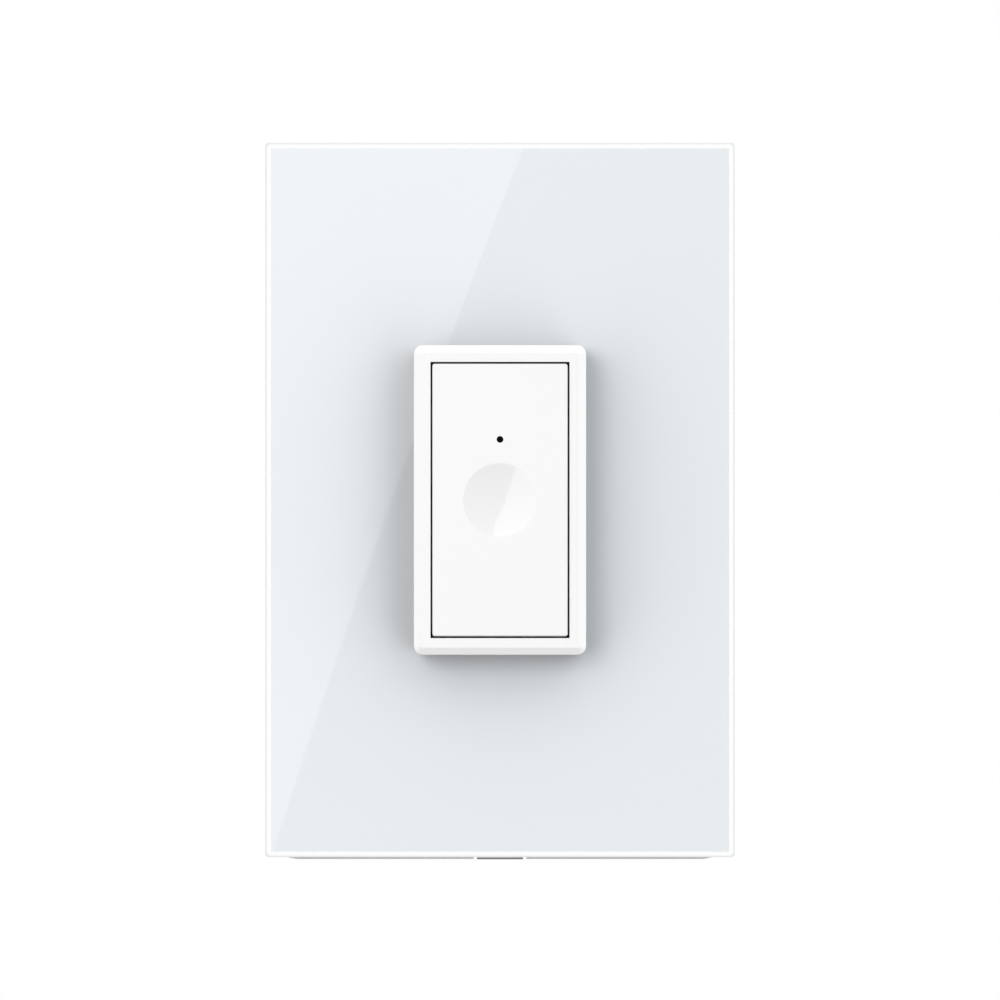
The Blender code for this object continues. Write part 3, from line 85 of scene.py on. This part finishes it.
# Glass plate. Each zone starts at a share of facing forwards, and mirrors by its own share.
PLATE_COLOUR = (0.870, 0.905, 0.931)
PLATE_CHAMFER = (0.985, 0.99, 0.99)
PLATE_ARRIS = (0.80, 0.82, 0.825)
PLATE_SIDE = (0.66, 0.76, 0.77)
PLATE_REAR = (0.66, 0.68, 0.69)
FACE_START = 0.95
CHAMFER_START = 0.6
ARRIS_START = 0.2
SIDE_START = -0.5
CHAMFER_MIRROR = 0.97
ARRIS_MIRROR = 0.85
SIDE_MIRROR = 0.3
MIRROR_ROUGHNESS = 0.02
GLASS_COAT_IOR = 1.56
PAINT_SCALE = 25.0
PAINT_GRAIN = 300.0
PAINT_ROUGHNESS = (0.56, 0.64)
FACE_TONE = 1.008
REAR_TONE = 1.05

# Key and bezel
KEY_COLOUR = (0.972, 0.972, 0.970)
KEY_TONE = 1.006
KEY_SCALE = 40.0
KEY_ROUGHNESS = (0.34, 0.42)
KEY_BUMP = 0.2
GLOSS_GRAIN = 2200.0
GLOSS_RELIEF = 0.000006
DISH_RADIUS = 0.0060
DISH_COAT_IOR = 1.72
DISH_COAT_ROUGHNESS = 0.01
# Painted shade: near black for light that the bezel and key would pass on to their neighbours
BOUNCE_SHADE_COLOUR = (0.02, 0.02, 0.02)

# Carrier, and the painted shade at the foot of its release tab
CARRIER_COLOUR = (0.74, 0.75, 0.75)
TAB_HALF_WIDTH = 0.0040
TAB_SHADE_TOP = -0.05880
TAB_SHADE_COLOUR = (0.36, 0.37, 0.37)

# Other plastics and metals
MOULDED_SCALE = 60.0
MOULDED_GRAIN = 1800.0
MOULDED_RELIEF = 0.000012
MOULDED_TONE = 0.03
MOULDED_BUMP = 0.5
MOULDED_SPREAD = 0.15
METAL_SCALE = 110.0
METAL_MARKS = 900.0
METAL_RELIEF = 0.00002
METAL_TONE = 0.12
METAL_BUMP = 0.35
METAL_SMOOTHEST = 0.7
METAL_ROUGHEST = 1.4
ALL_WAYS = (1.0, 1.0, 1.0)
ALONG_Y = (1.0, 0.1, 1.0)
ALONG_Z = (1.0, 1.0, 0.1)
ROLLED_ALONG_Z = (1.0, 1.0, 0.08)
SMOOTH_ANGLE = math.radians(32)

# Thread of the box screws
THREAD_PITCH = 0.0008
THREAD_DEPTH = 0.0004
THREAD_SLOPE = 2.6
THREAD_SIDES = 24
THREAD_ROWS = 12
TIP_TAPER = 0.0008
HEAD_RIM = 0.9

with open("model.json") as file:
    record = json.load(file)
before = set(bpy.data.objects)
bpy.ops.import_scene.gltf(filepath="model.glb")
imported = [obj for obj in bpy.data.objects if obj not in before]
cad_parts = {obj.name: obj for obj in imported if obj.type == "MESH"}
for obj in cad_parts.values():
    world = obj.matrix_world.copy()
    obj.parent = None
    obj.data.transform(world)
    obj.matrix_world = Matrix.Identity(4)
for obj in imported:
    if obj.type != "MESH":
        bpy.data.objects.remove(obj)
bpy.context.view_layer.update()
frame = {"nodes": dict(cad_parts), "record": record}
nodes = frame["nodes"]
scene = bpy.context.scene
scene.view_settings.view_transform = "Standard"

GLASS_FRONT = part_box("glass_panel")[0].y


def new_material(name):
    made = bpy.data.materials.new(name)
    made.use_nodes = True
    tree = made.node_tree
    tree.nodes.clear()
    return made, tree


def add(tree, kind, **settings):
    node = tree.nodes.new(kind)
    for key, value in settings.items():
        setattr(node, key, value)
    return node


def math_node(tree, operation, first, second=None):
    """Result of an operation on sockets or plain numbers."""
    node = add(tree, "ShaderNodeMath", operation=operation)
    for socket, value in zip(node.inputs, (first, second)):
        if value is None:
            continue
        if isinstance(value, (int, float)):
            socket.default_value = value
        else:
            tree.links.new(value, socket)
    return node.outputs[0]


def weighted_sum(tree, start, *terms):
    """Start plus each value times its weight."""
    total = start
    for value, weight in terms:
        total = math_node(tree, "ADD", math_node(tree, "MULTIPLY", value, weight), total)
    return total


def blend_value(tree, factor, first, second):
    """First where the factor is 0, second where it is 1."""
    rest = math_node(tree, "SUBTRACT", 1.0, factor)
    return math_node(
        tree,
        "ADD",
        math_node(tree, "MULTIPLY", rest, first),
        math_node(tree, "MULTIPLY", factor, second),
    )


def parts_of(tree, vector):
    """X, Y and Z outputs of a vector."""
    split = add(tree, "ShaderNodeSeparateXYZ")
    tree.links.new(vector, split.inputs[0])
    return split.outputs


def object_place(tree):
    return add(tree, "ShaderNodeTexCoord").outputs["Object"]


def distance_along(tree, first_axis, second_axis):
    """Distance from the object's origin in the plane of two axes."""
    place = parts_of(tree, object_place(tree))
    first = math_node(tree, "POWER", place[first_axis], 2.0)
    second = math_node(tree, "POWER", place[second_axis], 2.0)
    return math_node(tree, "SQRT", math_node(tree, "ADD", first, second))


def smooth_rise(tree, value, start, end):
    """From 0 at the start to 1 at the end, without a corner."""
    node = add(tree, "ShaderNodeMapRange", interpolation_type="SMOOTHSTEP")
    tree.links.new(value, node.inputs["Value"])
    node.inputs["From Min"].default_value = start
    node.inputs["From Max"].default_value = end
    return node.outputs["Result"]


def spread(tree, value, low, high):
    """A value from 0 to 1, drawn out to reach from low to high."""
    node = add(tree, "ShaderNodeMapRange")
    tree.links.new(value, node.inputs["Value"])
    node.inputs["To Min"].default_value = low
    node.inputs["To Max"].default_value = high
    return node.outputs["Result"]


def noise(tree, scale, detail=3.0, stretch=None):
    """Noise in object space, its value from 0 to 1, drawn out along an axis by a stretch."""
    texture = add(tree, "ShaderNodeTexNoise")
    texture.inputs["Scale"].default_value = scale
    texture.inputs["Detail"].default_value = detail
    vector = object_place(tree)
    if stretch:
        mapping = add(tree, "ShaderNodeMapping")
        mapping.inputs["Scale"].default_value = stretch
        tree.links.new(vector, mapping.inputs["Vector"])
        vector = mapping.outputs["Vector"]
    tree.links.new(vector, texture.inputs["Vector"])
    return texture.outputs["Fac"]


def mix_colour(tree, factor, first, second):
    """Colour that goes from the first to the second, which are sockets or plain colours."""
    node = add(tree, "ShaderNodeMix", data_type="RGBA")
    tree.links.new(factor, node.inputs["Factor"])
    for socket, value in zip((node.inputs[6], node.inputs[7]), (first, second)):
        if isinstance(value, tuple):
            socket.default_value = (*value, 1.0)
        else:
            tree.links.new(value, socket)
    return node.outputs[2]


def shade(colour, factor):
    return tuple(min(1.0, part * factor) for part in colour)


def bump(tree, height, strength, distance, shader):
    node = add(tree, "ShaderNodeBump")
    node.inputs["Strength"].default_value = strength
    node.inputs["Distance"].default_value = distance
    tree.links.new(height, node.inputs["Height"])
    tree.links.new(node.outputs["Normal"], shader.inputs["Normal"])


def output(tree, shader):
    end = add(tree, "ShaderNodeOutputMaterial")
    tree.links.new(shader.outputs[0], end.inputs["Surface"])


def bounce_painted_shade(tree, tint):
    """Painted shade: the colour, but dark for light that would pass on to a neighbour, so that gaps and
    edges stay deep in shade.
    """
    bounce = add(tree, "ShaderNodeLightPath").outputs["Is Diffuse Ray"]
    return mix_colour(tree, bounce, tint, BOUNCE_SHADE_COLOUR)


def moulded(
    name,
    colour,
    roughness,
    grain=MOULDED_GRAIN,
    relief=MOULDED_RELIEF,
    tone=MOULDED_TONE,
    painted_gap_shade=False,
    specular=0.5,
):
    """Moulded plastic with a fine eroded grain and slight tone changes."""
    made, tree = new_material(name)
    shader = add(tree, "ShaderNodeBsdfPrincipled")
    shader.inputs["Specular IOR Level"].default_value = specular
    broad = noise(tree, MOULDED_SCALE)
    fine = noise(tree, grain, 2.0)
    tint = mix_colour(tree, broad, shade(colour, 1.0 - tone), shade(colour, 1.0 + tone))
    # Painted shade: dark for light passed on to neighbours, which deepens the shade in gaps and at edges
    if painted_gap_shade:
        tint = bounce_painted_shade(tree, tint)
    tree.links.new(tint, shader.inputs["Base Color"])
    smoothest = roughness * (1.0 - MOULDED_SPREAD)
    roughest = roughness * (1.0 + MOULDED_SPREAD)
    tree.links.new(spread(tree, fine, smoothest, roughest), shader.inputs["Roughness"])
    bump(tree, fine, MOULDED_BUMP, relief, shader)
    output(tree, shader)
    return made


def carrier_plastic():
    """Pale matt plastic, with painted shade at the foot of the release tab."""
    made = moulded("carrier_look", CARRIER_COLOUR, 0.5, tone=0.015)
    tree = made.node_tree
    shader = tree.nodes["Principled BSDF"]
    plain = shader.inputs["Base Color"].links[0].from_socket
    # Painted shade: the foot of the release tab, below the lip, is coloured dark where it sits back in
    # shadow
    place = parts_of(tree, object_place(tree))
    across = math_node(tree, "ABSOLUTE", place["X"])
    inside = math_node(tree, "LESS_THAN", across, TAB_HALF_WIDTH)
    below = math_node(tree, "LESS_THAN", place["Z"], TAB_SHADE_TOP)
    in_tab_shade = math_node(tree, "MULTIPLY", inside, below)
    tree.links.new(mix_colour(tree, in_tab_shade, plain, TAB_SHADE_COLOUR), shader.inputs["Base Color"])
    return made


def metal(name, colour, roughness, stretch, relief=METAL_RELIEF):
    """Metal with marks drawn out along one axis."""
    made, tree = new_material(name)
    shader = add(tree, "ShaderNodeBsdfPrincipled")
    shader.inputs["Metallic"].default_value = 1.0
    marks = noise(tree, METAL_MARKS, 4.0, stretch)
    broad = noise(tree, METAL_SCALE)
    tint = mix_colour(tree, broad, shade(colour, 1.0 - METAL_TONE), shade(colour, 1.0 + METAL_TONE))
    tree.links.new(tint, shader.inputs["Base Color"])
    worn = spread(tree, marks, roughness * METAL_SMOOTHEST, roughness * METAL_ROUGHEST)
    tree.links.new(worn, shader.inputs["Roughness"])
    bump(tree, marks, METAL_BUMP, relief, shader)
    output(tree, shader)
    return made


def painted_glass():
    """Clear polished glass over paint: a coat of gloss over a soft bluish white, with a neutral chamfer."""
    made, tree = new_material("painted_glass_look")
    shader = add(tree, "ShaderNodeBsdfPrincipled")
    normal = add(tree, "ShaderNodeNewGeometry").outputs["True Normal"]
    facing = math_node(tree, "MULTIPLY", parts_of(tree, normal)["Y"], -1.0)
    broad = noise(tree, PAINT_SCALE, 2.0)
    face = mix_colour(tree, broad, PLATE_COLOUR, shade(PLATE_COLOUR, FACE_TONE))
    colour = mix_colour(tree, broad, PLATE_REAR, shade(PLATE_REAR, REAR_TONE))
    mirror = 0.0
    zones = [
        (SIDE_START, PLATE_SIDE, SIDE_MIRROR),
        (ARRIS_START, PLATE_ARRIS, ARRIS_MIRROR),
        (CHAMFER_START, PLATE_CHAMFER, CHAMFER_MIRROR),
        (FACE_START, face, 0.0),
    ]
    for start, zone_colour, zone_mirror in zones:
        beyond = math_node(tree, "GREATER_THAN", facing, start)
        colour = mix_colour(tree, beyond, colour, zone_colour)
        mirror = blend_value(tree, beyond, mirror, zone_mirror)
    tree.links.new(colour, shader.inputs["Base Color"])
    tree.links.new(mirror, shader.inputs["Metallic"])
    paint = spread(tree, noise(tree, PAINT_GRAIN, 2.0), *PAINT_ROUGHNESS)
    tree.links.new(blend_value(tree, mirror, paint, MIRROR_ROUGHNESS), shader.inputs["Roughness"])
    shader.inputs["Specular IOR Level"].default_value = 0.0
    shader.inputs["Coat Weight"].default_value = 1.0
    shader.inputs["Coat IOR"].default_value = GLASS_COAT_IOR
    shader.inputs["Coat Roughness"].default_value = 0.0
    output(tree, shader)
    return made


def key_plastic():
    """White plastic of the key, with a polished coat in its finger dish."""
    made, tree = new_material("key_look")
    shader = add(tree, "ShaderNodeBsdfPrincipled")
    in_dish = math_node(tree, "LESS_THAN", distance_along(tree, "X", "Z"), DISH_RADIUS)
    fine = noise(tree, GLOSS_GRAIN, 2.0)
    broad = noise(tree, KEY_SCALE)
    # Painted shade: the key is dark for light it would pass on, which deepens the shade in its gap
    tint = bounce_painted_shade(tree, mix_colour(tree, broad, KEY_COLOUR, shade(KEY_COLOUR, KEY_TONE)))
    tree.links.new(tint, shader.inputs["Base Color"])
    tree.links.new(spread(tree, fine, *KEY_ROUGHNESS), shader.inputs["Roughness"])
    tree.links.new(in_dish, shader.inputs["Coat Weight"])
    shader.inputs["Coat IOR"].default_value = DISH_COAT_IOR
    shader.inputs["Coat Roughness"].default_value = DISH_COAT_ROUGHNESS
    bump(tree, fine, KEY_BUMP, GLOSS_RELIEF, shader)
    output(tree, shader)
    return made


LOOKS = {
    "painted_glass": painted_glass(),
    "key": key_plastic(),
    # Painted shade on the bezel: dark for light it would pass on, so the plate next to it stays in deeper
    # shade
    "white_plastic": moulded(
        "bezel_look", KEY_COLOUR, 0.38, grain=GLOSS_GRAIN, relief=GLOSS_RELIEF, tone=0.004, painted_gap_shade=True
    ),
    "carrier_plastic": carrier_plastic(),
    "foam_tape": moulded("tape_look", (0.05, 0.05, 0.05), 0.95, grain=2600.0, relief=0.0001),
    "zinc_steel": metal("zinc_look", (0.60, 0.61, 0.63), 0.38, ROLLED_ALONG_Z, relief=0.000008),
    "housing_plastic": moulded("housing_look", (0.045, 0.046, 0.05), 0.52, grain=1500.0, relief=0.00003),
    "dark_lens": moulded("lens_look", (0.002, 0.002, 0.002), 0.15, specular=0.12),
    "spring_steel": metal("spring_look", (0.62, 0.62, 0.63), 0.25, ALL_WAYS),
    "board_laminate": moulded("board_look", (0.02, 0.15, 0.06), 0.4, grain=900.0, relief=0.00002, tone=0.2),
    "black_component": moulded("component_look", (0.02, 0.02, 0.022), 0.45),
    "relay_plastic": moulded("relay_look", (0.03, 0.09, 0.30), 0.4),
    "can_aluminium": metal("can_look", (0.56, 0.57, 0.60), 0.3, ALONG_Y),
    "film_plastic": moulded("film_look", (0.55, 0.36, 0.04), 0.4),
    "varistor_coating": moulded("varistor_look", (0.02, 0.08, 0.24), 0.35),
    "led_plastic": moulded("led_look", (0.75, 0.75, 0.70), 0.3),
    "terminal_plastic": moulded("terminal_look", (0.34, 0.35, 0.37), 0.5),
    "terminal_brass": metal("brass_look", (0.72, 0.52, 0.22), 0.3, ALONG_Z),
    "screw_steel": metal("screw_look", (0.62, 0.62, 0.62), 0.28, ALL_WAYS),
}


def smooth(mesh):
    mesh.shade_smooth()
    mesh.set_sharp_from_angle(angle=SMOOTH_ANGLE)


def dress_nodes():
    """Gives each node its own look, or else the look of its material slot."""
    for part in frame["record"]["subparts"]:
        name = part["node"]
        mesh = nodes[name].data
        mesh.materials.clear()
        mesh.materials.append(LOOKS.get(name) or LOOKS[part["material_slot"]])
        smooth(mesh)


def axis_distance(point, axis):
    return math.hypot(point.x - axis.x, point.z - axis.z)


def screw_head(mesh, seat):
    """The head alone, closed where the shank stood."""
    cut = bmesh.new()
    cut.from_mesh(mesh)
    shank = [vert for vert in cut.verts if vert.co.y > seat + THREAD_PITCH / 4]
    bmesh.ops.delete(cut, geom=shank, context="VERTS")
    bmesh.ops.holes_fill(cut, edges=[edge for edge in cut.edges if edge.is_boundary])
    return cut


def thread_radius(crest, turn, from_tip):
    """Radius of a V thread with a flat root at a place given in turns, drawn in at the tip."""
    phase = turn % 1.0
    groove = min(1.0, THREAD_SLOPE * (0.5 - abs(phase - 0.5)))
    taper = max(0.0, 1.0 - from_tip / TIP_TAPER)
    return crest - THREAD_DEPTH * max(groove, taper)


def add_thread(cut, axis, start, end, crest):
    """Closed shank with a helical thread, of rings whose radius follows the turn."""
    rows = round((end - start) / THREAD_PITCH * THREAD_ROWS)
    rings = []
    for row in range(rows + 1):
        y = start + (end - start) * row / rows
        ring = []
        for side in range(THREAD_SIDES):
            share = side / THREAD_SIDES
            radius = thread_radius(crest, (y - start) / THREAD_PITCH - share, end - y)
            angle = math.tau * share
            point = (axis.x + radius * math.cos(angle), y, axis.z + radius * math.sin(angle))
            ring.append(cut.verts.new(point))
        rings.append(ring)
    for first, second in zip(rings, rings[1:]):
        for side in range(THREAD_SIDES):
            following = (side + 1) % THREAD_SIDES
            cut.faces.new((first[side], second[side], second[following], first[following]))
    cut.faces.new(rings[0])
    cut.faces.new(reversed(rings[-1]))


def new_piece(mesh, node):
    """Object of a mesh that rides on the switch body in place of a node."""
    made = bpy.data.objects.new(mesh.name, mesh)
    scene.collection.objects.link(made)
    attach(made, "switch_body")
    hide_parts(node)
    return made


def make_threaded_screw(name):
    """The box screw with its own head and a thread cut into its shank."""
    mesh = nodes[name].data
    low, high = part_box(name)
    axis = (low + high) / 2
    rim = HEAD_RIM * (high.x - low.x) / 2
    seat = max(vert.co.y for vert in mesh.vertices if axis_distance(vert.co, axis) > rim)
    crest = max(axis_distance(vert.co, axis) for vert in mesh.vertices if vert.co.y > seat + THREAD_PITCH)
    cut = screw_head(mesh, seat)
    add_thread(cut, axis, seat - THREAD_PITCH / 2, high.y, crest)
    bmesh.ops.recalc_face_normals(cut, faces=cut.faces)
    threaded = bpy.data.meshes.new(f"{name}_threaded")
    cut.to_mesh(threaded)
    cut.free()
    threaded.materials.append(LOOKS["screw_steel"])
    smooth(threaded)
    new_piece(threaded, name)


def make_soft_spring(name):
    """The key's spring as a piece with a mesh of its own, riding on the switch body in place of the node."""
    wire = nodes[name].data.copy()
    wire.name = f"{name}_wire"
    spring = new_piece(wire, name)
    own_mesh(spring)


def make_camera():
    data = bpy.data.cameras.new("camera")
    data.sensor_width = SENSOR
    data.lens = CAMERA_DISTANCE * SENSOR / IMAGE_WIDTH
    data.clip_start = CAMERA_NEAR
    camera = bpy.data.objects.new("camera", data)
    camera.location = (0, GLASS_FRONT - CAMERA_DISTANCE, 0)
    camera.rotation_euler = (math.pi / 2, 0, 0)
    scene.collection.objects.link(camera)
    scene.camera = camera


def make_world():
    """White where it is seen or mirrored; as a light, brightest from the sides and from above."""
    world = bpy.data.worlds.new("studio")
    scene.world = world
    world.use_nodes = True
    tree = world.node_tree
    tree.nodes.clear()
    path = add(tree, "ShaderNodeLightPath")
    seen = math_node(tree, "MAXIMUM", path.outputs["Is Camera Ray"], path.outputs["Is Glossy Ray"])
    seen = math_node(tree, "MAXIMUM", seen, path.outputs["Is Transmission Ray"])
    direction = parts_of(tree, add(tree, "ShaderNodeTexCoord").outputs["Generated"])
    across, depth, upward = (direction[axis] for axis in "XYZ")
    front = weighted_sum(
        tree,
        SKY_LEVEL,
        (upward, SKY_UP),
        (across, SKY_RIGHT),
        (math_node(tree, "MULTIPLY", upward, upward), SKY_UP_SQUARED),
        (math_node(tree, "MULTIPLY", across, across), SKY_RIGHT_SQUARED),
    )
    front = math_node(tree, "MINIMUM", math_node(tree, "MAXIMUM", front, 0.0), SKY_LIMIT)
    rear = weighted_sum(tree, REAR_LEVEL, (math_node(tree, "MULTIPLY", depth, depth), REAR_DEPTH_SQUARED))
    level = blend_value(tree, smooth_rise(tree, depth, REAR_START, REAR_FULL), front, rear)
    background = add(tree, "ShaderNodeBackground")
    background.inputs["Color"].default_value = (1.0, 1.0, 1.0, 1.0)
    tree.links.new(blend_value(tree, seen, level, WHITE), background.inputs["Strength"])
    end = add(tree, "ShaderNodeOutputWorld")
    tree.links.new(background.outputs[0], end.inputs["Surface"])


def card_outline():
    """Outline in x and z: the mirrored edge from top to bottom, then the plain right side."""
    outline = []
    for step in range(CARD_EDGE_STEPS + 1):
        z = CARD_HALF_HEIGHT * (1 - 2 * step / CARD_EDGE_STEPS)
        outline.append((CARD_EDGE_OFFSET + CARD_EDGE_SLOPE * z + CARD_EDGE_BOW * z * z, z))
    return outline + [(CARD_RIGHT, -CARD_HALF_HEIGHT), (CARD_RIGHT, CARD_HALF_HEIGHT)]


def card_look():
    made, tree = new_material("card_look")
    glow = add(tree, "ShaderNodeEmission")
    grain = noise(tree, CARD_SCALE)
    tree.links.new(spread(tree, grain, 0.0, CARD_GLOW), glow.inputs["Strength"])
    output(tree, glow)
    return made


def make_card():
    """Dark studio card in front, whose slanting, slightly bowed edge the glass mirrors."""
    outline = card_outline()
    y = GLASS_FRONT - CARD_DISTANCE
    mesh = bpy.data.meshes.new("studio_card")
    mesh.from_pydata([(x, y, z) for x, z in outline], [], [tuple(range(len(outline)))])
    mesh.materials.append(card_look())
    card = bpy.data.objects.new("studio_card", mesh)
    scene.collection.objects.link(card)
    card.visible_camera = False
    card.visible_diffuse = False
    card.visible_shadow = False
    card.visible_transmission = False
    card.visible_volume_scatter = False


def floor_look():
    """Pale matt surface that fades out towards the floor's rim and is clear from below."""
    made, tree = new_material("floor_look")
    radius = distance_along(tree, "X", "Y")
    fade = smooth_rise(tree, radius, FLOOR_RADIUS * FLOOR_FADE_START, FLOOR_RADIUS * FLOOR_FADE_END)
    diffuse = add(tree, "ShaderNodeBsdfDiffuse")
    tint = mix_colour(tree, noise(tree, FLOOR_SCALE), FLOOR_DARK, FLOOR_PALE)
    tree.links.new(tint, diffuse.inputs["Color"])
    clear = add(tree, "ShaderNodeBsdfTransparent")
    underside = add(tree, "ShaderNodeNewGeometry").outputs["Backfacing"]
    mix = add(tree, "ShaderNodeMixShader")
    tree.links.new(math_node(tree, "MAXIMUM", fade, underside), mix.inputs["Fac"])
    tree.links.new(diffuse.outputs[0], mix.inputs[1])
    tree.links.new(clear.outputs[0], mix.inputs[2])
    output(tree, mix)
    return made


def make_floor():
    bpy.ops.mesh.primitive_circle_add(vertices=FLOOR_SIDES, radius=FLOOR_RADIUS, fill_type="NGON")
    floor = bpy.context.object
    floor.name = "studio_floor"
    floor.location = (0, 0, FLOOR_HEIGHT)
    floor.data.materials.append(floor_look())
    floor.visible_diffuse = False
    floor.visible_glossy = False
    floor.visible_shadow = False


def make_lamp():
    """Broad soft lamp above and to the left in front, turned to the middle of the plate."""
    data = bpy.data.lights.new("softbox", "AREA")
    data.shape = "DISK"
    data.size = LAMP_SIZE
    data.energy = LAMP_POWER
    lamp = bpy.data.objects.new("softbox", data)
    lamp.location = LAMP_PLACE
    lamp.rotation_euler = (-lamp.location).to_track_quat("-Z", "Y").to_euler()
    lamp.visible_camera = False
    lamp.visible_glossy = False
    scene.collection.objects.link(lamp)


dress_nodes()
make_threaded_screw("box_screw_upper")
make_threaded_screw("box_screw_lower")
make_soft_spring("return_spring_upper")
make_soft_spring("return_spring_lower")
make_camera()
make_world()
make_card()
make_floor()
make_lamp()
